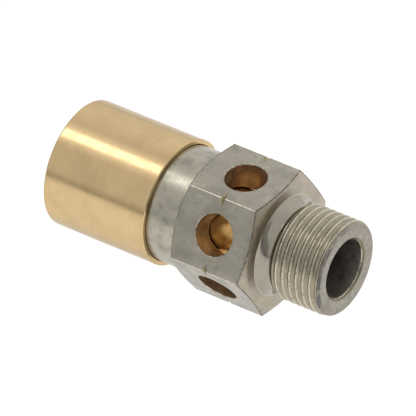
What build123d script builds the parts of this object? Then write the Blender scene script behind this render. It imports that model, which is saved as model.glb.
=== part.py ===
from build123d import *
import os
from math import cos, pi, radians, sqrt, tan

# Boiler safety valve with a screwed inlet, six side ports and a closed brass cap.
# Millimetres. The valve lies on one flat of its hexagon, as in the photograph.
# X runs along the valve's axis towards the inlet, Z is up, and the origin is on the
# axis in the plane of the shoulder that the inlet thread stands out of.

# Inlet spigot
thread_length = 12.0
thread_d = 16.662
thread_end_chamfer = 0.36
inlet_bore_d = 10.2
inlet_bore_chamfer = 0.6
shoulder_ring_step = 0.37
undercut_fillet = 1.35
undercut_length = 2.3

# Hexagon
across_flats = 22.0
hex_length = 15.1
front_face_inset = 0.45
front_bevel_deg = 19.0
rear_bevel_deg = 26.0
mark_depth = 0.7
mark_width = 0.75

# Side ports
port_count = 6
port_d = 7.1
port_x = -7.15
port_edge_break = 0.12

# Neck, with the land that the cap is pressed on
neck_d = 20.3
neck_exposed = 5.6
land_length = 6.0
land_chamfer = 0.5
press_interference = 0.01

# Cap
cap_wall = 0.75
cap_neck_gap = 0.1
cap_end_wall = 0.8
cap_end_gap = 1.7
cap_edge_radius = 0.4
cap_rim_break = 0.15

# Throat, seat, chamber and the tapped bore behind it
throat_step = 0.5
throat_length = 2.3
chamber_d = 13.6
chamber_floor_x = -1.6
seat_lip_height = 0.8
seat_lip_width = 0.4
seat_lip_slope = 0.4
chamber_behind_poppet = 1.1
tapped_bore_step = 1.2

# Poppet
poppet_gap = 0.18
poppet_web = 5.1
poppet_chamfer = 0.3
land_behind_port = 0.8
guide_land_length = 3.8
running_clearance = 0.08

# Seal and what holds it
seal_thickness = 2.0
seal_rim_wall = 0.6
seal_proud = 0.3
seal_clearance = 0.02
washer_gap = 0.9
washer_thickness = 0.6
screw_head_d = 5.4
screw_head_height = 1.5
screw_shank_d = 3.0
screw_slot_width = 0.8
screw_slot_depth = 0.8
screw_clearance = 0.05

# Spindle
spindle_d = 3.0
stud_gap = 0.5
spindle_end_inset = 1.0
spindle_chamfer = 0.3
guide_clearance = 0.08

# Spring
wire_d = 1.1
spring_mean_d = 9.6
spring_active_turns = 4
spring_closed_turns = 0.75
spring_length = 19.0
spring_cup_clearance = 0.4
spring_seat_gap = 0.02
closed_turn_gap = 0.05
ground_centre_height = 0.1

# Spring plate, adjusting screw and lock ring
plate_thickness = 1.5
plate_clearance = 0.2
pilot_length = 1.6
pilot_clearance = 0.2
plate_hole_clearance = 0.2
adjuster_length = 5.0
adjuster_clearance = 0.05
adjuster_slot_width = 1.8
adjuster_slot_depth = 1.6
adjuster_chamfer = 0.4
adjuster_travel = 1.5
lock_ring_length = 2.0
lock_ring_bore_d = 9.0
lock_notch_count = 4
lock_notch_width = 2.2
lock_notch_depth = 1.6

# Diameters that follow from the sizes above
shoulder_ring_d = thread_d + 2 * shoulder_ring_step
front_face_d = across_flats - 2 * front_face_inset
corner_d = 2 * across_flats / sqrt(3)
throat_d = inlet_bore_d - 2 * throat_step
tapped_bore_d = chamber_d + 2 * tapped_bore_step
cap_inner_d = neck_d + 2 * cap_neck_gap
cap_d = cap_inner_d + 2 * cap_wall
poppet_d = chamber_d - 2 * poppet_gap
seal_d = poppet_d - 2 * (seal_rim_wall + seal_clearance)
washer_d = throat_d - 2 * washer_gap
fastener_hole_d = screw_shank_d + 2 * screw_clearance
spring_cup_d = spring_mean_d + wire_d + 2 * spring_cup_clearance
adjuster_d = tapped_bore_d - 2 * adjuster_clearance

# Places along the axis that follow from the sizes above
seat_x = chamber_floor_x - seat_lip_height
inlet_bore_floor_x = seat_x + throat_length
seal_back_x = seat_x - seal_thickness
poppet_front_x = seat_x - seal_proud
guide_land_x = port_x - port_d / 2 - land_behind_port
poppet_back_x = guide_land_x - guide_land_length
chamber_end_x = poppet_back_x - chamber_behind_poppet
cup_floor_x = seal_back_x - poppet_web
stud_depth = (poppet_web - stud_gap) / 2
plate_front_x = cup_floor_x - spring_length
plate_back_x = plate_front_x - plate_thickness
adjuster_back_x = plate_back_x - adjuster_length
lock_ring_back_x = adjuster_back_x - lock_ring_length
spindle_back_x = lock_ring_back_x + spindle_end_inset
neck_end_x = lock_ring_back_x - adjuster_travel
cap_rim_x = -hex_length - neck_exposed
cap_floor_x = neck_end_x - cap_end_gap
past = 1.0


def turned(points):
    """A solid of revolution about X, from an outline of (x, radius) points."""
    outline = make_face(Polyline(*points, close=True))
    return revolve(outline, Axis.X)


def tube(x_low, x_high, outer_d, inner_d=0.0):
    """A plain ring or rod on the axis between two places."""
    outline = [
        (x_low, inner_d / 2),
        (x_high, inner_d / 2),
        (x_high, outer_d / 2),
        (x_low, outer_d / 2),
    ]
    return turned(outline)


def slot_cutter(x_face, x_floor, width, length):
    """A box that cuts a driver slot between a face and the slot's floor."""
    return Box(abs(x_face - x_floor), length, width).translate(((x_face + x_floor) / 2, 0, 0))


def inlet_spigot():
    """Thread blank with its concave undercut at the shoulder and its end chamfer."""
    undercut_r = shoulder_ring_d / 2 - undercut_fillet
    thread_r = thread_d / 2
    rise = thread_r - undercut_r
    start = (0, shoulder_ring_d / 2)
    fillet_end = (undercut_fillet, undercut_r)
    centre = (undercut_fillet, shoulder_ring_d / 2)
    diagonal = undercut_fillet * cos(pi / 4)
    middle = (centre[0] - diagonal, centre[1] - diagonal)
    concave = ThreePointArc(start, middle, fillet_end)
    rest = Polyline(
        fillet_end,
        (undercut_length, undercut_r),
        (undercut_length + rise, thread_r),
        (thread_length - thread_end_chamfer, thread_r),
        (thread_length, thread_r - thread_end_chamfer),
        (thread_length, 0),
        (-hex_length / 2, 0),
        (-hex_length / 2, shoulder_ring_d / 2),
        start,
    )
    return revolve(make_face(concave + rest), Axis.X)


def hexagon():
    """Hexagon with a conical bevel at each end and the turned mark across its corners."""
    prism = Plane.YZ * RegularPolygon(across_flats / 2, port_count, major_radius=False)
    prism = extrude(prism, amount=-hex_length)
    corner_r = corner_d / 2
    front_rise = (corner_r + past - front_face_d / 2) * tan(radians(front_bevel_deg))
    rear_rise = (corner_r + past - neck_d / 2) * tan(radians(rear_bevel_deg))
    envelope = turned(
        [
            (0, 0),
            (0, front_face_d / 2),
            (-front_rise, corner_r + past),
            (-hex_length + rear_rise, corner_r + past),
            (-hex_length, neck_d / 2),
            (-hex_length, 0),
        ]
    )
    widening = mark_width / (2 * mark_depth)
    mark = turned(
        [
            (port_x, corner_r - mark_depth),
            (port_x + widening * (mark_depth + past), corner_r + past),
            (port_x - widening * (mark_depth + past), corner_r + past),
        ]
    )
    return (prism & envelope) - mark


def neck():
    """Turned neck behind the hexagon, with the land for the cap near its end."""
    neck_r = neck_d / 2
    land_r = cap_inner_d / 2 + press_interference
    land_start = neck_end_x + land_length
    step = land_r - neck_r
    return turned(
        [
            (-hex_length / 2, 0),
            (-hex_length / 2, neck_r),
            (land_start, neck_r),
            (land_start - step, land_r),
            (neck_end_x + land_chamfer, land_r),
            (neck_end_x, land_r - land_chamfer),
            (neck_end_x, 0),
        ]
    )


def body_cavity():
    """Inlet bore, throat with its raised seat lip, chamber and the tapped bore behind it."""
    bore_r = inlet_bore_d / 2
    throat_r = throat_d / 2
    chamber_r = chamber_d / 2
    tapped_r = tapped_bore_d / 2
    return turned(
        [
            (thread_length + past, 0),
            (thread_length + past, bore_r + inlet_bore_chamfer + past),
            (thread_length - inlet_bore_chamfer, bore_r),
            (inlet_bore_floor_x, bore_r),
            (inlet_bore_floor_x, throat_r),
            (seat_x, throat_r),
            (seat_x, throat_r + seat_lip_width),
            (chamber_floor_x, throat_r + seat_lip_width + seat_lip_slope),
            (chamber_floor_x, chamber_r),
            (chamber_end_x, chamber_r),
            (chamber_end_x - (tapped_r - chamber_r), tapped_r),
            (neck_end_x - past, tapped_r),
            (neck_end_x - past, 0),
        ]
    )


def side_ports():
    """Drill shapes of the radial ports, one through the middle of each flat."""
    drill_length = across_flats / 2 + past
    straight = Cylinder(port_d / 2, drill_length, align=(Align.CENTER, Align.CENTER, Align.MIN))
    edge = Cone(
        port_d / 2,
        port_d / 2 + port_edge_break + past,
        port_edge_break + past,
        align=(Align.CENTER, Align.CENTER, Align.MIN),
    )
    drill = straight + edge.translate((0, 0, across_flats / 2 - port_edge_break))
    drill = drill.translate((port_x, 0, 0))
    drills = []
    for number in range(port_count):
        drills.append(drill.rotate(Axis.X, number * 360 / port_count))
    return drills


def valve_body():
    solid = inlet_spigot() + hexagon() + neck()
    solid -= body_cavity()
    for drill in side_ports():
        solid -= drill
    return solid


def cap():
    """Drawn cup: thin wall, closed end with a rounded edge, lightly broken rim."""
    outer = tube(cap_floor_x - cap_end_wall, cap_rim_x, cap_d)
    end_edge = outer.edges().sort_by(Axis.X)[0]
    outer = fillet(end_edge, cap_edge_radius)
    rim_edge = outer.edges().sort_by(Axis.X)[-1]
    outer = chamfer(rim_edge, cap_rim_break)
    inner = tube(cap_floor_x, cap_rim_x + past, cap_inner_d)
    inner_edge = inner.edges().sort_by(Axis.X)[0]
    inner = fillet(inner_edge, cap_edge_radius / 2)
    return outer - inner


def poppet():
    """Valve member: seal recess in front, guide land behind the ports, cup for the spring."""
    outer_r = poppet_d / 2
    land_r = chamber_d / 2 - running_clearance
    hole_r = fastener_hole_d / 2
    recess_r = seal_d / 2 + seal_clearance
    return turned(
        [
            (poppet_front_x, recess_r),
            (poppet_front_x, outer_r - poppet_chamfer),
            (poppet_front_x - poppet_chamfer, outer_r),
            (guide_land_x + (land_r - outer_r), outer_r),
            (guide_land_x, land_r),
            (poppet_back_x + poppet_chamfer, land_r),
            (poppet_back_x, land_r - poppet_chamfer),
            (poppet_back_x, spring_cup_d / 2),
            (cup_floor_x, spring_cup_d / 2),
            (cup_floor_x, hole_r),
            (seal_back_x, hole_r),
            (seal_back_x, recess_r),
        ]
    )


def seal_disc():
    return tube(seal_back_x, seat_x, seal_d, fastener_hole_d)


def seal_washer():
    return tube(seat_x, seat_x + washer_thickness, washer_d, fastener_hole_d)


def seal_screw():
    """Slotted screw that clamps the washer and the seal to the poppet."""
    head_back_x = seat_x + washer_thickness
    head_front_x = head_back_x + screw_head_height
    head = tube(head_back_x, head_front_x, screw_head_d)
    rim = head.edges().sort_by(Axis.X)[-1]
    head = chamfer(rim, screw_head_height / 5)
    shank = tube(seal_back_x - stud_depth, head_back_x, screw_shank_d)
    slot = slot_cutter(head_front_x, head_front_x - screw_slot_depth, screw_slot_width, screw_head_d + past)
    return head + shank - slot


def spindle():
    """Rod screwed into the poppet, guided at its other end by the adjusting screw."""
    front_x = cup_floor_x + stud_depth
    radius = spindle_d / 2
    return turned(
        [
            (front_x, 0),
            (front_x, radius - spindle_chamfer),
            (front_x - spindle_chamfer, radius),
            (spindle_back_x + spindle_chamfer, radius),
            (spindle_back_x, radius - spindle_chamfer),
            (spindle_back_x, 0),
        ]
    )


def spring():
    """Compression spring with closed ends, ground flat."""
    front_x = cup_floor_x - spring_seat_gap
    back_x = plate_front_x + spring_seat_gap
    closed_pitch = wire_d + closed_turn_gap
    centre_span = front_x - back_x - 2 * ground_centre_height
    closed_length = closed_pitch * spring_closed_turns
    active_pitch = (centre_span - 2 * closed_length) / spring_active_turns
    windings = []
    reached = 0.0
    turned_so_far = 0.0
    for pitch, turns in (
        (closed_pitch, spring_closed_turns),
        (active_pitch, spring_active_turns),
        (closed_pitch, spring_closed_turns),
    ):
        winding = Helix(pitch, pitch * turns, spring_mean_d / 2)
        windings.append(winding.rotate(Axis.Z, turned_so_far * 360).translate((0, 0, reached)))
        reached += pitch * turns
        turned_so_far += turns
    path = Wire(windings)
    section = Plane(path @ 0, z_dir=path % 0) * Circle(wire_d / 2)
    coil = sweep(section, path, transition=Transition.TRANSFORMED, is_frenet=True)
    coil = coil.rotate(Axis.Y, 90).translate((back_x + ground_centre_height, 0, 0))
    return coil & tube(back_x, front_x, spring_mean_d + 2 * wire_d)


def upper_spring_plate():
    """Flanged plate that centres the spring and bears on the adjusting screw."""
    flange_d = tapped_bore_d - 2 * plate_clearance
    hole_d = spindle_d + 2 * plate_hole_clearance
    pilot_d = spring_mean_d - wire_d - 2 * pilot_clearance
    flange = tube(plate_back_x, plate_front_x, flange_d, hole_d)
    pilot = tube(plate_front_x, plate_front_x + pilot_length, pilot_d, hole_d)
    return flange + pilot


def adjusting_screw():
    """Screwed plug with a driver slot, bored to guide the spindle."""
    plug = tube(adjuster_back_x, plate_back_x, adjuster_d, spindle_d + 2 * guide_clearance)
    ends = plug.edges().filter_by(GeomType.CIRCLE).group_by(SortBy.RADIUS)[-1]
    plug = chamfer(ends, adjuster_chamfer)
    floor_x = adjuster_back_x + adjuster_slot_depth
    slot = slot_cutter(adjuster_back_x, floor_x, adjuster_slot_width, lock_ring_bore_d)
    return plug - slot


def lock_ring():
    """Ring nut with notches for a pin spanner, tightened against the adjusting screw."""
    ring = tube(lock_ring_back_x, adjuster_back_x, adjuster_d, lock_ring_bore_d)
    notch_centre = (lock_ring_back_x + lock_notch_depth / 2, (adjuster_d + lock_ring_bore_d) / 2, 0)
    notch = Box(lock_notch_depth, adjuster_d, lock_notch_width).translate(notch_centre)
    for number in range(lock_notch_count):
        ring -= notch.rotate(Axis.X, 45 + number * 360 / lock_notch_count)
    return ring


nodes = {
    "valve_body": valve_body,
    "cap": cap,
    "poppet": poppet,
    "seal_disc": seal_disc,
    "seal_washer": seal_washer,
    "seal_screw": seal_screw,
    "spindle": spindle,
    "spring": spring,
    "upper_spring_plate": upper_spring_plate,
    "adjusting_screw": adjusting_screw,
    "lock_ring": lock_ring,
}

os.makedirs("parts", exist_ok=True)
for name, make in nodes.items():
    export_step(make(), f"parts/{name}.step")
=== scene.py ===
import math

import bmesh
import bpy
from mathutils import Matrix, Vector, noise


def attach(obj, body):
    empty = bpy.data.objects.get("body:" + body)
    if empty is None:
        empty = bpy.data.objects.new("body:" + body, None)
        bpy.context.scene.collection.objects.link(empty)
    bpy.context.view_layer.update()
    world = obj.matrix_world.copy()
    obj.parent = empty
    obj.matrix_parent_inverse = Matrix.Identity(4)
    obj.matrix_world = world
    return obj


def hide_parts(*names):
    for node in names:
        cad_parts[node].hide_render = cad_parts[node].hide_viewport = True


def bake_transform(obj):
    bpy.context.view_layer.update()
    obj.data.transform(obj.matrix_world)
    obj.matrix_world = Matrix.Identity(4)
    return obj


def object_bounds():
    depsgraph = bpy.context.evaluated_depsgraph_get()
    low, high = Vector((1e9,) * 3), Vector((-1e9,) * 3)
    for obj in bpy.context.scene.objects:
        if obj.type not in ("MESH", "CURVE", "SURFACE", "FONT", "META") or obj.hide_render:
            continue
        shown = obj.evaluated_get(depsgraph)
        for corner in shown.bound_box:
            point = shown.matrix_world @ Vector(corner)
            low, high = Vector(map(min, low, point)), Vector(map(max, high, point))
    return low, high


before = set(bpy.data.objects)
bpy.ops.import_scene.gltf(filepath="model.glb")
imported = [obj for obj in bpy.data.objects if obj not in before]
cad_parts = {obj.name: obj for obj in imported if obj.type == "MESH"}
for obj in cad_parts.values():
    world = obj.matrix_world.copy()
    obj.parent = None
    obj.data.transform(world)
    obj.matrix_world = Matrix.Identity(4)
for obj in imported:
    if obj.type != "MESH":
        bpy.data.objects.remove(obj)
cad_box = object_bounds()

MM = 0.001
TURN = 2 * math.pi

# Camera of the photograph, in degrees and millimetres. The offsets place the valve in the frame.
CAMERA_AZIMUTH = 37.723
CAMERA_ELEVATION = 38.723
CAMERA_ROLL = -3.647
CAMERA_DISTANCE = 1462.584
CAMERA_SIDE = -22.317
CAMERA_LIFT = 9.982
CAMERA_TARGET_X = 12.0
SENSOR_WIDTH = 36.0
FOCAL_LENGTH = 778.846

# Spigot in front of the shoulder, in millimetres: G 3/8 thread with narrow crests and wide flat roots
THREAD_PITCH = 1.337
THREAD_RADIUS = 8.331
THREAD_END = 12.0
CREST_X = 3.63
CREST_ANGLE = 118.2
THREAD_DEPTH = 0.42
CREST_HALF_WIDTH = 0.3
CREST_WEAR = 0.03
RUN_OUT_END_X = 3.5
COLUMNS = 240
THREAD_STEP = 0.055

# End of the spigot: thread chamfer, a shallow scuffed band, then the flat face round the bore
BAND_X = 11.9
BAND_RADIUS = 8.0
END_FACE_RADIUS = 7.1
BORE_RADIUS = 5.1
BORE_CHAMFER = 0.38
BORE_FLOOR_X = -0.1

# Shoulder face and the hollow between it and the thread: a tight rim, then a gentle curve, in degrees
FRONT_FACE_RADIUS = 10.55
RIM_RADIUS = 8.85
RIM_ROUND = 0.25
HOLLOW_START = 28.0
HOLLOW_END = 80.0
UNDERCUT_RADIUS = 7.35
UNDERCUT_END_X = 2.0

# Hexagon, its bevels and its ports
HALF_FLATS = 11.0
HEX_REAR_X = -15.1
NECK_RADIUS = 10.15
FRONT_BEVEL = 19.0
REAR_BEVEL = 26.0
CORNER_ROUND = 0.09
PORT_COUNT = 6
PORT_RADIUS = 3.55
PORT_X = -7.15

# Light
KEY_DIRECTION = (-0.477, -0.105, 0.873)
KEY_GLOW = 0.35

# Spring: closed turns at each end, ground flat
SPRING_BACK_X = -28.48
SPRING_FRONT_X = -9.52
SPRING_RADIUS = 4.8
WIRE_RADIUS = 0.55
SPRING_GROUND = 0.1
CLOSED_PITCH = 1.15
CLOSED_TURNS = 0.75
ACTIVE_TURNS = 4
TURN_STEPS = 48
WIRE_SIDES = 14


def radius_of(point):
    return math.hypot(point[1], point[2])


def polar(x, radius, angle):
    """A point on the valve, in metres, from millimetres and radians. Angle 0 is along +Y."""
    return Vector((x, radius * math.cos(angle), radius * math.sin(angle))) * MM


def smoothstep(value):
    value = min(max(value, 0.0), 1.0)
    return value * value * (3 - 2 * value)


def clean_copy(node):
    """A copy of a CAD node's faces, with its doubled vertices joined."""
    mesh = bmesh.new()
    mesh.from_mesh(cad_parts[node].data)
    bmesh.ops.remove_doubles(mesh, verts=mesh.verts, dist=0.001 * MM)
    return mesh


def thread_depth(distance):
    """Depth of the thread form below its crest, from the distance along the axis to the crest."""
    return THREAD_DEPTH * (1 - math.exp(-((distance / CREST_HALF_WIDTH) ** 2)))


def thread_radius(x, angle):
    """Radius of the right-hand thread, with its run-out behind and its chamfer in front."""
    phase = (x - CREST_X) / THREAD_PITCH - (math.degrees(angle) - CREST_ANGLE) / 360
    distance = abs(phase - round(phase)) * THREAD_PITCH
    place = Vector((x * 0.9, 6 * math.cos(angle), 6 * math.sin(angle)))
    wear = CREST_WEAR * smoothstep(noise.noise(place) * 2.2)
    radius = THREAD_RADIUS - max(thread_depth(distance), wear)
    share = (x - UNDERCUT_END_X) / (RUN_OUT_END_X - UNDERCUT_END_X)
    run_out = UNDERCUT_RADIUS + (THREAD_RADIUS - UNDERCUT_RADIUS) * smoothstep(share)
    chamfer = BAND_RADIUS + (BAND_X - x)
    return min(radius, max(run_out, UNDERCUT_RADIUS), chamfer)


def arc(centre, radius, start, end, steps):
    """Profile points (x, radius) on an arc, with its angles in degrees from +X towards outward."""
    points = []
    for step in range(steps + 1):
        angle = math.radians(start + (end - start) * step / steps)
        points.append((centre[0] + radius * math.cos(angle), centre[1] + radius * math.sin(angle)))
    return points


def undercut_rings():
    """Rings over the hollow's tight rim and down its gentle curve to the spigot's root."""
    rim = arc((RIM_ROUND, RIM_RADIUS), RIM_ROUND, 180, 180 + HOLLOW_START, 5)
    start = math.radians(HOLLOW_START)
    end = math.radians(HOLLOW_END)
    hollow_round = (rim[-1][1] - UNDERCUT_RADIUS) / (math.sin(end) - math.sin(start))
    centre = (
        rim[-1][0] + hollow_round * math.cos(start),
        rim[-1][1] + hollow_round * math.sin(start),
    )
    hollow = arc(centre, hollow_round, 180 + HOLLOW_START, 180 + HOLLOW_END, 16)
    rings = [(*rim[0], "face")]
    rings += [(x, radius, "lip") for x, radius in rim[1:]]
    rings += [(x, radius, "undercut") for x, radius in hollow[1:]]
    return rings


def end_rings():
    """Rings from the thread's last crest over the end face and into the inlet bore."""
    middle = ((BAND_X + THREAD_END) / 2, (BAND_RADIUS + END_FACE_RADIUS) / 2)
    mouth = BORE_RADIUS + BORE_CHAMFER
    return [
        (BAND_X, BAND_RADIUS, "band"),
        (*middle, "band"),
        (THREAD_END - 0.01, END_FACE_RADIUS + 0.05, "band"),
        (THREAD_END, END_FACE_RADIUS - 0.05, "end"),
        (THREAD_END, (END_FACE_RADIUS + mouth) / 2, "end"),
        (THREAD_END, mouth + 0.05, "end"),
        (THREAD_END - 0.03, mouth - 0.03, "mouth"),
        (THREAD_END - BORE_CHAMFER + 0.12, BORE_RADIUS + 0.12, "mouth"),
        # the thin ring ending here takes the pale rim colour, a painted highlight line at the bore's edge
        (THREAD_END - BORE_CHAMFER, BORE_RADIUS + 0.02, "rim"),
        (THREAD_END - BORE_CHAMFER - 0.06, BORE_RADIUS, "bore"),
        (THREAD_END / 2, BORE_RADIUS, "bore"),
        (BORE_FLOOR_X + 0.05, BORE_RADIUS, "bore"),
    ]


def spigot_profile():
    """Rings (x, radius, region) from the shoulder face over the thread and into the inlet bore."""
    rings = [(0.0, FRONT_FACE_RADIUS - 0.03, "face"), (0.0, (FRONT_FACE_RADIUS + RIM_RADIUS) / 2, "face")]
    rings += undercut_rings()
    x = rings[-1][0] + THREAD_STEP
    while x < BAND_X - THREAD_STEP / 2:
        rings.append((x, None, "thread"))
        x += THREAD_STEP
    return rings + end_rings()


def open_loop(mesh, low, high):
    """The open edges of a mesh whose radius lies between two values in millimetres."""
    found = []
    for edge in mesh.edges:
        if not edge.is_boundary:
            continue
        radii = [radius_of(vert.co) / MM for vert in edge.verts]
        if all(low < radius < high for radius in radii):
            found.append(edge)
    return found


def ring_edges(ring):
    """The edges that join a ring's vertices to each other."""
    members = set(ring)
    found = set()
    for vert in ring:
        for edge in vert.link_edges:
            if edge.other_vert(vert) in members:
                found.add(edge)
    return list(found)


def add_spigot(mesh, regions):
    """Replaces the CAD's plain thread blank by the threaded spigot, welded to the shoulder and bore."""
    blank = [face for face in mesh.faces if face.calc_center_median().x > -0.0001 * MM]
    bmesh.ops.delete(mesh, geom=blank, context="FACES")
    shoulder = open_loop(mesh, 9, 12)
    bore = open_loop(mesh, 4, 6)
    rows = []
    for x, radius, region in spigot_profile():
        row = []
        for column in range(COLUMNS):
            angle = TURN * column / COLUMNS
            value = thread_radius(x, angle) if radius is None else radius
            row.append(mesh.verts.new(polar(x, value, angle)))
        rows.append((row, region))
    for (first, _), (second, region) in zip(rows, rows[1:]):
        for column in range(COLUMNS):
            after = (column + 1) % COLUMNS
            face = mesh.faces.new((first[column], first[after], second[after], second[column]))
            face.material_index = regions.index(region)
    joined = bmesh.ops.bridge_loops(mesh, edges=shoulder + ring_edges(rows[0][0]))
    for face in joined["faces"]:
        face.material_index = regions.index("face")
    joined = bmesh.ops.bridge_loops(mesh, edges=bore + ring_edges(rows[-1][0]))
    for face in joined["faces"]:
        face.material_index = regions.index("bore")


def flat_axes():
    """Directions square to the flats, which are also the ports' axes."""
    axes = []
    for number in range(PORT_COUNT):
        angle = math.pi / 2 + number * TURN / PORT_COUNT
        axes.append(Vector((0, math.cos(angle), math.sin(angle))))
    return axes


def port_region(centre, normal):
    """"port" on a port's wall, "rim" on its broken edge, or None elsewhere."""
    for axis in flat_axes():
        offset = centre - Vector((PORT_X * MM, 0, 0))
        along = offset.dot(axis) / MM
        away = (offset - axis * offset.dot(axis)).length / MM
        if along < 5 or away > PORT_RADIUS + 0.16:
            continue
        facing = abs(normal.dot(axis))
        if facing < 0.1 and away < PORT_RADIUS + 0.03:
            return "port"
        if 0.4 < facing < 0.95 and along > 9:
            return "rim"
    return None


def region_of(face):
    """The region of a CAD face of the valve body, from its place and direction."""
    centre = face.calc_center_median()
    normal = face.normal
    radius = radius_of(centre) / MM
    x = centre.x / MM
    found = port_region(centre, normal)
    if found:
        return found
    outward = normal.y * centre.y + normal.z * centre.z > 0
    if radius < 8.2 and not (outward and abs(normal.x) < 0.5):
        return "bore" if x > -3 else "chamber"
    if x < HEX_REAR_X:
        return "neck"
    if abs(x - PORT_X) < 1 and abs(normal.x) > 0.1:
        return "mark_left" if normal.x > 0 else "mark_right"
    squarest = max(normal.dot(axis) for axis in flat_axes())
    if squarest > 0.998:
        return "flat"
    return "corner" if abs(normal.x) < 0.05 else "bevel"


def round_corners(mesh):
    """Breaks the hexagon's six long corners with a small round."""
    corners = []
    for edge in mesh.edges:
        if len(edge.link_faces) != 2:
            continue
        first, second = (face.normal for face in edge.link_faces)
        along = (edge.verts[0].co - edge.verts[1].co).normalized()
        if abs(along.x) > 0.99 and 0.3 < first.dot(second) < 0.7 and radius_of(edge.verts[0].co) > 12.5 * MM:
            corners.append(edge)
    bmesh.ops.bevel(
        mesh,
        geom=corners,
        offset=CORNER_ROUND * MM,
        offset_type="OFFSET",
        segments=2,
        profile=0.5,
        affect="EDGES",
    )


def shade(mesh, limit):
    """Smooth faces, with a sharp edge wherever two faces turn by more than the limit."""
    for face in mesh.faces:
        face.smooth = True
    for edge in mesh.edges:
        sharp = len(edge.link_faces) != 2 or edge.calc_face_angle(0) > math.radians(limit)
        edge.smooth = not sharp


def piece(name, mesh, materials, slot, *nodes):
    """Makes a piece of a bmesh, which stands for CAD nodes."""
    data = bpy.data.meshes.new(name)
    mesh.to_mesh(data)
    mesh.free()
    for material in materials:
        data.materials.append(material)
    made = bpy.data.objects.new(name, data)
    bpy.context.scene.collection.objects.link(made)
    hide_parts(*nodes)
    return made


class Nodes:
    """Short calls for the node tree of a material or of the world."""

    def __init__(self, tree):
        self.tree = tree
        tree.nodes.clear()

    def add(self, kind, settings=None, **sockets):
        made = self.tree.nodes.new(kind)
        for key, value in (settings or {}).items():
            setattr(made, key, value)
        for key, value in sockets.items():
            name = key.replace("_", " ")
            socket = made.inputs[int(key[1:])] if key[0] == "i" and key[1:].isdigit() else made.inputs[name]
            if isinstance(value, bpy.types.NodeSocket):
                self.tree.links.new(value, socket)
            else:
                socket.default_value = value
        return made

    def math(self, operation, first, second=0.0):
        return self.add("ShaderNodeMath", {"operation": operation}, i0=first, i1=second).outputs[0]

    def dot(self, first, second):
        settings = {"operation": "DOT_PRODUCT"}
        return self.add("ShaderNodeVectorMath", settings, i0=first, i1=second).outputs["Value"]

    def span(self, value, low, high, to_low=0.0, to_high=1.0):
        """The value's place between low and high, smoothed, as a number between two others."""
        settings = {"interpolation_type": "SMOOTHSTEP", "clamp": True}
        made = self.add("ShaderNodeMapRange", settings, Value=value)
        for name, number in zip(("From Min", "From Max", "To Min", "To Max"), (low, high, to_low, to_high)):
            made.inputs[name].default_value = number
        return made.outputs["Result"]

    def blend(self, share, first, second, mode="MIX"):
        made = self.add("ShaderNodeMix", {"data_type": "RGBA", "blend_type": mode})
        for index, value in ((0, share), (6, first), (7, second)):
            if isinstance(value, bpy.types.NodeSocket):
                self.tree.links.new(value, made.inputs[index])
            else:
                made.inputs[index].default_value = value
        return made.outputs[2]

    def noise(self, place, size, detail=4.0, stretch=(1, 1, 1), turn=(0, 0, 0), shift=(0, 0, 0)):
        """Noise with features of a size in millimetres, stretched along axes that may be turned."""
        turned = self.add("ShaderNodeMapping", Vector=place, Rotation=turn, Location=shift)
        mapped = self.add("ShaderNodeMapping", Vector=turned.outputs[0], Scale=stretch)
        made = self.add("ShaderNodeTexNoise", Vector=mapped.outputs[0])
        made.inputs["Scale"].default_value = 1 / (size * MM)
        made.inputs["Detail"].default_value = detail
        made.inputs["Roughness"].default_value = 0.6
        return made.outputs["Fac"]

    def radius(self, place):
        """Distance from the valve's axis."""
        settings = {"operation": "MULTIPLY"}
        radial = self.add("ShaderNodeVectorMath", settings, i0=place, i1=(0, 1, 1)).outputs[0]
        return self.add("ShaderNodeVectorMath", {"operation": "LENGTH"}, i0=radial).outputs["Value"]

    def grey(self, value):
        return self.add("ShaderNodeCombineColor", Red=value, Green=value, Blue=value).outputs[0]


def colour(red, green, blue):
    """A linear colour from the 0 to 255 values of a screen colour."""
    def straight(value):
        share = value / 255
        return share / 12.92 if share <= 0.04045 else ((share + 0.055) / 1.055) ** 2.4
    return (straight(red), straight(green), straight(blue), 1.0)


# Directions of the fine grain: rings round the axis, or none
TURNED = (1.0, 0.02, 0.02)
EVEN = (1.0, 1.0, 1.0)


def mottled(size, share, tone, low=0.42, high=0.68, detail=6, stretch=EVEN, shift=(0, 0, 0)):
    """A layer of stains about so many millimetres across, which cover at most a share of what is below."""
    def layer(nodes, place, tint):
        field = nodes.noise(place, size, detail, stretch, (0, 0, 0), shift)
        strength = nodes.math("MULTIPLY", nodes.span(field, low, high), share)
        return nodes.blend(strength, tint, tone)
    return layer


def scratched(length, width, share, tone, turns):
    """A layer of fine straight scratches in several directions."""
    def layer(nodes, place, tint):
        for number, turn in enumerate(turns):
            stretch = (width / length, 1, 1)
            field = nodes.noise(place, width, 2, stretch, turn, (0.01 * number, 0, 0))
            strength = nodes.math("MULTIPLY", nodes.span(field, 0.69, 0.74), share)
            tint = nodes.blend(strength, tint, tone)
        return tint
    return layer


def pitted(cell, size, share, tone):
    """A layer of small round pits, one in some of the cells of a loose grid."""
    def layer(nodes, place, tint):
        cells = nodes.add("ShaderNodeTexVoronoi", Vector=place)
        cells.inputs["Scale"].default_value = 1 / (cell * MM)
        near = nodes.span(cells.outputs["Distance"], size / cell, 0.5 * size / cell)
        drawn = nodes.add("ShaderNodeSeparateColor", Color=cells.outputs["Color"]).outputs[0]
        chosen = nodes.math("LESS_THAN", drawn, share)
        return nodes.blend(nodes.math("MULTIPLY", near, chosen), tint, tone)
    return layer


def crested(low, high, share, tone, from_noise, to_noise):
    """A patchy layer on the thread's crests, which comes in between two radii."""
    def layer(nodes, place, tint):
        crest = nodes.span(nodes.radius(place), low * MM, high * MM)
        patches = nodes.span(nodes.noise(place, 0.8, 4), from_noise, to_noise)
        strength = nodes.math("MULTIPLY", nodes.math("MULTIPLY", patches, crest), share)
        return nodes.blend(strength, tint, tone)
    return layer


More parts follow.
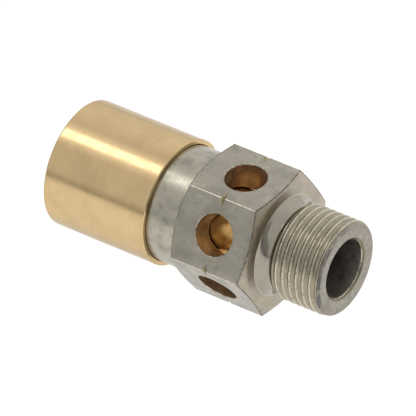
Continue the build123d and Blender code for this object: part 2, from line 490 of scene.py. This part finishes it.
def sided(layer, angle, low, high):
    """A layer kept to one side of the valve's axis, at an angle in degrees from +Y towards up."""
    side = Vector((0, math.cos(math.radians(angle)), math.sin(math.radians(angle))))
    def kept(nodes, place, tint):
        share = nodes.span(nodes.dot(place, side), low * MM, high * MM)
        return nodes.blend(share, tint, layer(nodes, place, tint))
    return kept


def outlined(width, share, tone):
    """A broken dark line along the arcs where the hexagon's flats meet its bevels."""
    def layer(nodes, place, tint):
        split = nodes.add("ShaderNodeSeparateXYZ", Vector=place)
        across = 0.0
        for axis in flat_axes()[:3]:
            across = nodes.math("MAXIMUM", across, nodes.math("ABSOLUTE", nodes.dot(place, axis)))
        inset = nodes.math("SUBTRACT", HALF_FLATS * MM, across)
        radius = nodes.radius(place)
        gaps = []
        for face_x, face_radius, degrees in (
            (0.0, FRONT_FACE_RADIUS, FRONT_BEVEL),
            (-HEX_REAR_X, NECK_RADIUS, REAR_BEVEL),
        ):
            sign = -1.0 if face_x == 0 else 1.0
            depth = nodes.math("MULTIPLY", nodes.math("ADD", split.outputs["X"], face_x * MM), sign)
            fall = nodes.math("SUBTRACT", radius, face_radius * MM)
            fall = nodes.math("MULTIPLY", fall, math.tan(math.radians(degrees)))
            gaps.append(nodes.math("ABSOLUTE", nodes.math("SUBTRACT", depth, fall)))
        gap = nodes.math("ADD", inset, nodes.math("MINIMUM", *gaps))
        broken = nodes.span(nodes.noise(place, 0.7, 3), 0.35, 0.6, 0.35, 1.0)
        strength = nodes.math("MULTIPLY", nodes.span(gap, width * MM, 0.3 * width * MM), broken)
        return nodes.blend(nodes.math("MULTIPLY", strength, share), tint, tone)
    return layer


def finish(name, base, roughness, layers=(), grain=EVEN, grain_size=0.12, grain_depth=0.001,
           edge=0.06, metallic=1.0, uneven=0.06, grazing=1.0):
    """A material with layers over its base, a fine grain and softly broken edges. Sizes are in millimetres."""
    material = bpy.data.materials.new(name)
    material.use_nodes = True
    nodes = Nodes(material.node_tree)
    place = nodes.add("ShaderNodeTexCoord").outputs["Object"]
    fine = nodes.noise(place, grain_size, 3, grain)
    broad = nodes.noise(place, 2.5, 5)
    tint = nodes.blend(1.0, base, nodes.grey(nodes.span(fine, 0.3, 0.7, 0.95, 1.04)), "MULTIPLY")
    for layer in layers:
        tint = layer(nodes, place, tint)
    bevel = nodes.add("ShaderNodeBevel", {"samples": 4}, Radius=edge * MM).outputs[0]
    rough = nodes.math("ADD", nodes.span(broad, 0.35, 0.7, -uneven, uneven), roughness)
    rough = nodes.math("ADD", rough, nodes.span(fine, 0.3, 0.7, -0.02, 0.02))
    bump = nodes.add("ShaderNodeBump", Height=fine, Normal=bevel, Distance=grain_depth * MM)
    shader = nodes.add("ShaderNodeBsdfPrincipled", Roughness=rough, Normal=bump.outputs[0])
    nodes.tree.links.new(tint, shader.inputs["Base Color"])
    shader.inputs["Metallic"].default_value = metallic
    shader.inputs["Specular Tint"].default_value = (grazing, grazing, grazing, 1)
    output = nodes.add("ShaderNodeOutputMaterial", Surface=shader.outputs[0])
    output.is_active_output = True
    return material


NICKEL = colour(177, 168, 151)
NICKEL_FLAT = colour(163, 158, 144)
NICKEL_BRIGHT = colour(161, 155, 142)
NICKEL_DARK = colour(100, 96, 90)
NICKEL_DIRT = colour(66, 62, 60)
NICKEL_PALE = colour(194, 188, 174)
BRASS = colour(209, 182, 137)
BRASS_DARK = colour(150, 122, 76)
PORT_WALL = colour(186, 160, 128)
PORT_DARK = colour(96, 80, 58)
POPPET_BRASS = colour(212, 171, 108)
POPPET_DARK = colour(128, 84, 40)
STEEL = colour(176, 176, 174)
STEEL_DARK = colour(112, 110, 106)

SCRATCH_TURNS = ((0.2, 0.5, 0.4), (1.1, -0.6, 0.9), (-0.5, 0.2, -1.2))


def body_materials():
    """The valve body's finishes by region."""
    flat_layers = [
        mottled(4.5, 0.3, NICKEL_DARK, 0.4, 0.66),
        mottled(1.6, 0.35, NICKEL_PALE, 0.5, 0.72, shift=(0.02, 0, 0)),
        mottled(1.1, 0.5, NICKEL_DIRT, 0.62, 0.74, 5, shift=(0, 0.03, 0)),
        mottled(0.28, 0.3, NICKEL_DARK, 0.6, 0.74, 3),
        scratched(6.0, 0.07, 0.35, NICKEL_PALE, SCRATCH_TURNS),
        outlined(0.2, 0.75, NICKEL_DIRT),
    ]
    bevel_layers = [
        mottled(3.0, 0.2, NICKEL_DARK),
        mottled(0.35, 0.3, NICKEL_DARK, 0.64, 0.76, 3),
        pitted(2.2, 0.14, 0.25, NICKEL_DIRT),
        outlined(0.26, 0.8, NICKEL_DIRT),
    ]
    neck_layers = [
        mottled(2.4, 0.4, NICKEL_DARK),
        mottled(0.5, 0.3, NICKEL_DARK, 0.6, 0.75, 4, (1, 0.3, 0.3)),
    ]
    smooth_layers = [mottled(3.0, 0.15, NICKEL_DARK)]
    thread_layers = [
        mottled(1.2, 0.25, NICKEL_DARK),
        mottled(0.3, 0.2, NICKEL_DIRT, 0.62, 0.74, 3),
        # pale crest patches: partly rubbed bright crests, partly a painted highlight along the crest lines
        crested(8.14, 8.27, 0.75, colour(216, 208, 188), 0.3, 0.5),
        crested(8.12, 8.28, 0.45, NICKEL_DARK, 0.56, 0.66),
    ]
    end_layers = [
        mottled(1.5, 0.3, NICKEL_DARK),
        mottled(0.9, 0.4, NICKEL_PALE, 0.5, 0.7, shift=(0, 0, 0.02)),
        scratched(2.5, 0.06, 0.4, NICKEL_DARK, SCRATCH_TURNS),
    ]
    band_layers = [
        mottled(1.5, 0.3, NICKEL_DARK),
        sided(mottled(2.6, 0.9, colour(88, 84, 84), 0.36, 0.54), 145, 2.0, 6.0),
        sided(mottled(0.6, 0.6, NICKEL_DIRT, 0.5, 0.66), 145, 2.0, 6.0),
        scratched(1.5, 0.06, 0.6, NICKEL_PALE, SCRATCH_TURNS),
    ]
    port_layers = [mottled(1.6, 0.3, PORT_DARK), mottled(0.25, 0.2, PORT_DARK, 0.6, 0.75, 3)]
    chamber_layers = [mottled(1.5, 0.5, colour(72, 58, 40))]
    bore_layers = [mottled(1.5, 0.4, colour(90, 86, 80))]
    turned = {"grain": TURNED, "grain_size": 0.08}
    return {
        "flat": finish("nickel_flat", NICKEL_FLAT, 0.33, flat_layers, grain_size=0.2, grain_depth=0.003),
        # corner: the rounded hexagon corners are painted pale, a painted highlight line along each corner
        "corner": finish("corner_painted_highlight", colour(226, 218, 202), 0.4,
                         [mottled(0.5, 0.6, NICKEL_FLAT, 0.48, 0.58)]),
        "bevel": finish("nickel_bevel", NICKEL, 0.42, bevel_layers, grain_depth=0.001, **turned),
        "neck": finish("nickel_neck", colour(172, 167, 152), 0.28, neck_layers, grain_depth=0.0006, **turned),
        "face": finish("nickel_face", NICKEL, 0.42, bevel_layers[:3], grain_depth=0.001, **turned),
        "lip": finish("nickel_lip", colour(190, 184, 168), 0.15, smooth_layers, grain_depth=0.0003, **turned),
        "undercut": finish("nickel_undercut", NICKEL_BRIGHT, 0.13, smooth_layers,
                           grain_depth=0.0003, **turned),
        "thread": finish("nickel_thread", colour(158, 149, 130), 0.3, thread_layers,
                         grain_depth=0.0006, **turned),
        "band": finish("nickel_band", colour(150, 144, 132), 0.4, band_layers, grain_depth=0.003),
        "end": finish("nickel_end", colour(152, 146, 134), 0.38, end_layers, grain_depth=0.003),
        "mouth": finish("mouth_nickel", colour(124, 116, 95), 0.3, smooth_layers,
                        grain_depth=0.001, **turned),
        "bore": finish("bore_dark", colour(160, 155, 148), 0.36, bore_layers,
                       grain_depth=0.002, metallic=0.9, **turned),
        "chamber": finish("chamber_brass", colour(130, 110, 80), 0.3, chamber_layers,
                          grain_depth=0.002, **turned),
        "port": finish("port_wall", PORT_WALL, 0.25, port_layers,
                       grain_depth=0.001, metallic=0.75),
        # rim: the ports' broken edges and the bore's edge are painted pale, a painted highlight line
        "rim": finish("rim_painted_highlight", colour(196, 188, 168), 0.4, [mottled(0.8, 0.7, NICKEL_DARK, 0.45, 0.6)]),
        "mark_left": finish("mark_gold", colour(166, 152, 124), 0.35, smooth_layers),
        # mark_right: the V mark's face towards -X is painted near white, a painted highlight
        "mark_right": finish("mark_painted_highlight", colour(238, 230, 208), 0.35, smooth_layers, metallic=0.2),
    }


def valve_body():
    materials = body_materials()
    regions = list(materials)
    mesh = clean_copy("valve_body")
    round_corners(mesh)
    for face in mesh.faces:
        face.material_index = regions.index(region_of(face))
    add_spigot(mesh, regions)
    bmesh.ops.recalc_face_normals(mesh, faces=mesh.faces)
    shade(mesh, 24)
    for face in mesh.faces:
        if face.material_index == regions.index("thread"):
            for edge in face.edges:
                edge.smooth = True
    body = piece("valve_body_plated", mesh, materials.values(), "nickel_plate", "valve_body")
    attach(body, "body")


def spring_point(turns):
    """Centre of the wire, as (x, angle), after so many turns from the spring's back end."""
    span = SPRING_FRONT_X - SPRING_BACK_X - 2 * SPRING_GROUND
    closed = CLOSED_PITCH * CLOSED_TURNS
    active = (span - 2 * closed) / ACTIVE_TURNS
    loose = min(max(turns - CLOSED_TURNS, 0), ACTIVE_TURNS)
    x = SPRING_BACK_X + SPRING_GROUND + CLOSED_PITCH * (turns - loose) + active * loose
    return x, TURN * (turns - 0.25)


def spring_half(name, first_turn, last_turn, material):
    """A stretch of the spring's wire, closed at both ends and ground flat where the spring ends."""
    steps = round((last_turn - first_turn) * TURN_STEPS)
    mesh = bmesh.new()
    rows = []
    for step in range(steps + 1):
        x, angle = spring_point(first_turn + (last_turn - first_turn) * step / steps)
        row = []
        for side in range(WIRE_SIDES):
            around = TURN * side / WIRE_SIDES
            place = min(max(x + WIRE_RADIUS * math.sin(around), SPRING_BACK_X), SPRING_FRONT_X)
            row.append(mesh.verts.new(polar(place, SPRING_RADIUS + WIRE_RADIUS * math.cos(around), angle)))
        rows.append(row)
    for first, second in zip(rows, rows[1:]):
        for side in range(WIRE_SIDES):
            after = (side + 1) % WIRE_SIDES
            mesh.faces.new((first[side], second[side], second[after], first[after]))
    mesh.faces.new(rows[0])
    mesh.faces.new(reversed(rows[-1]))
    bmesh.ops.recalc_face_normals(mesh, faces=mesh.faces)
    shade(mesh, 40)
    return piece(name, mesh, [material], "steel", "spring")


def spring():
    """The spring in two halves, one for each end."""
    steel = finish("spring_steel", STEEL, 0.28, [mottled(1.0, 0.35, STEEL_DARK)], grain_depth=0.0006)
    turns = ACTIVE_TURNS + 2 * CLOSED_TURNS
    front = spring_half("spring_front_half", turns / 2, turns, steel)
    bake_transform(front)
    back = spring_half("spring_back_half", 0, turns / 2, steel)
    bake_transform(back)


def recolour(node, material):
    """Gives a carried-over CAD node its material."""
    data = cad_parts[node].data
    data.materials.clear()
    data.materials.append(material)


def inner_pieces():
    turned = {"grain": TURNED, "grain_size": 0.1}
    cap_layers = [
        mottled(5.0, 0.18, BRASS_DARK),
        mottled(0.5, 0.25, BRASS_DARK, 0.66, 0.76, 3),
        pitted(5.0, 0.22, 0.3, BRASS_DARK),
    ]
    recolour("cap", finish("cap_polished", BRASS, 0.17, cap_layers, grain=TURNED, grain_size=0.05,
                           grain_depth=0.00006, uneven=0.03, grazing=0.75))
    poppet_layers = [
        mottled(1.6, 0.5, POPPET_DARK),
        mottled(0.4, 0.5, POPPET_DARK, 0.55, 0.68, 4),
    ]
    recolour("poppet", finish("poppet_turned", POPPET_BRASS, 0.2, poppet_layers, grain_depth=0.001, **turned))
    inner_layers = [mottled(2.4, 0.4, BRASS_DARK)]
    inner = finish("inner_brass", colour(196, 164, 108), 0.3, inner_layers, grain_depth=0.001, **turned)
    for node in ("upper_spring_plate", "adjusting_screw", "lock_ring"):
        recolour(node, inner)
    steel = finish("bright_steel", STEEL, 0.25, [mottled(1.5, 0.3, STEEL_DARK)], grain_depth=0.001, **turned)
    for node in ("seal_washer", "seal_screw", "spindle"):
        recolour(node, steel)
    rubber_layers = [mottled(1.0, 0.5, colour(104, 52, 40))]
    recolour("seal_disc", finish("seal_rubber", colour(140, 70, 52), 0.6, rubber_layers, grain_size=0.2,
                                 grain_depth=0.006, metallic=0.0))


def stage():
    """Pale floor under the valve, which glows: painted light, strongest under the valve and fading outward,
    washes out the valve's shadow.
    """
    mesh = bmesh.new()
    bmesh.ops.create_grid(mesh, x_segments=8, y_segments=8, size=5.0)
    data = bpy.data.meshes.new("floor")
    mesh.to_mesh(data)
    mesh.free()
    floor = bpy.data.objects.new("floor", data)
    floor.location = (0, 0, cad_box[0].z - 0.02 * MM)
    bpy.context.scene.collection.objects.link(floor)
    material = bpy.data.materials.new("floor_glowing")
    material.use_nodes = True
    nodes = Nodes(material.node_tree)
    place = nodes.add("ShaderNodeTexCoord").outputs["Object"]
    away = nodes.add("ShaderNodeVectorMath", {"operation": "LENGTH"}, i0=place).outputs["Value"]
    # painted light: emission strongest under the valve, fading outward
    glow = nodes.span(away, 0.05, 0.45, 0.95, 0.64)
    shader = nodes.add("ShaderNodeBsdfPrincipled", Roughness=0.9)
    nodes.tree.links.new(glow, shader.inputs["Emission Strength"])
    shader.inputs["Base Color"].default_value = (0.2, 0.2, 0.2, 1)
    shader.inputs["Specular IOR Level"].default_value = 0.0
    shader.inputs["Emission Color"].default_value = (1, 1, 1, 1)
    nodes.add("ShaderNodeOutputMaterial", Surface=shader.outputs[0])
    data.materials.append(material)


def light_tent():
    """World light: bright behind the valve, softer on the camera's side and dim low down near the inlet."""
    world = bpy.data.worlds.new("tent")
    bpy.context.scene.world = world
    world.use_nodes = True
    nodes = Nodes(world.node_tree)
    direction = nodes.add("ShaderNodeTexCoord").outputs["Generated"]
    split = nodes.add("ShaderNodeSeparateXYZ", Vector=direction)
    back = nodes.span(split.outputs["Y"], 0.15, 0.8)
    front = nodes.span(split.outputs["Z"], 0.0, 0.25, 0.46, 0.8)
    level = nodes.math("ADD", nodes.math("MULTIPLY", nodes.math("SUBTRACT", 1.02, front), back), front)
    inlet_side = nodes.span(split.outputs["X"], 0.0, 0.4)
    low = nodes.span(split.outputs["Z"], 0.52, 0.42)
    near = nodes.span(split.outputs["Y"], 0.25, 0.05)
    dim = nodes.math("MULTIPLY", nodes.math("MULTIPLY", inlet_side, low), near)
    level = nodes.math("MULTIPLY", level, nodes.math("SUBTRACT", 1.0, nodes.math("MULTIPLY", dim, 0.5)))
    near_key = nodes.span(nodes.dot(direction, Vector(KEY_DIRECTION).normalized()), 0.93, 1.0, 0.0, KEY_GLOW)
    light = nodes.add("ShaderNodeBackground", Strength=nodes.math("ADD", level, near_key))
    light.inputs["Color"].default_value = (1.0, 1.0, 1.0, 1)
    nodes.add("ShaderNodeOutputWorld", Surface=light.outputs[0])


def softbox(name, direction, distance, width, length, power):
    """A soft area light that faces the valve from a direction."""
    data = bpy.data.lights.new(name, "AREA")
    data.shape = "RECTANGLE"
    data.size = width
    data.size_y = length
    data.energy = power
    light = bpy.data.objects.new(name, data)
    aim = Vector(direction).normalized()
    light.location = aim * distance
    light.rotation_mode = "QUATERNION"
    light.rotation_quaternion = (-aim).to_track_quat("-Z", "Y")
    bpy.context.scene.collection.objects.link(light)


def camera():
    azimuth = math.radians(CAMERA_AZIMUTH)
    elevation = math.radians(CAMERA_ELEVATION)
    roll = math.radians(CAMERA_ROLL)
    back = Vector((
        math.sin(azimuth) * math.cos(elevation),
        -math.cos(azimuth) * math.cos(elevation),
        math.sin(elevation),
    ))
    level = Vector((math.cos(azimuth), math.sin(azimuth), 0))
    upright = back.cross(level)
    right = math.cos(roll) * level + math.sin(roll) * upright
    up = -math.sin(roll) * level + math.cos(roll) * upright
    data = bpy.data.cameras.new("camera")
    data.sensor_width = SENSOR_WIDTH
    data.lens = FOCAL_LENGTH
    data.clip_start = 0.1
    data.clip_end = 20
    made = bpy.data.objects.new("camera", data)
    bpy.context.scene.collection.objects.link(made)
    place = right * CAMERA_SIDE + up * CAMERA_LIFT + back * CAMERA_DISTANCE
    place += Vector((CAMERA_TARGET_X, 0, 0))
    turn = Matrix((right, up, back)).transposed()
    made.matrix_world = Matrix.Translation(place * MM) @ turn.to_4x4()
    bpy.context.scene.camera = made


valve_body()
spring()
inner_pieces()
stage()
light_tent()
softbox("key", KEY_DIRECTION, 0.9, 0.2, 0.5, 0.5)
camera()
bpy.context.scene.view_settings.view_transform = "Standard"
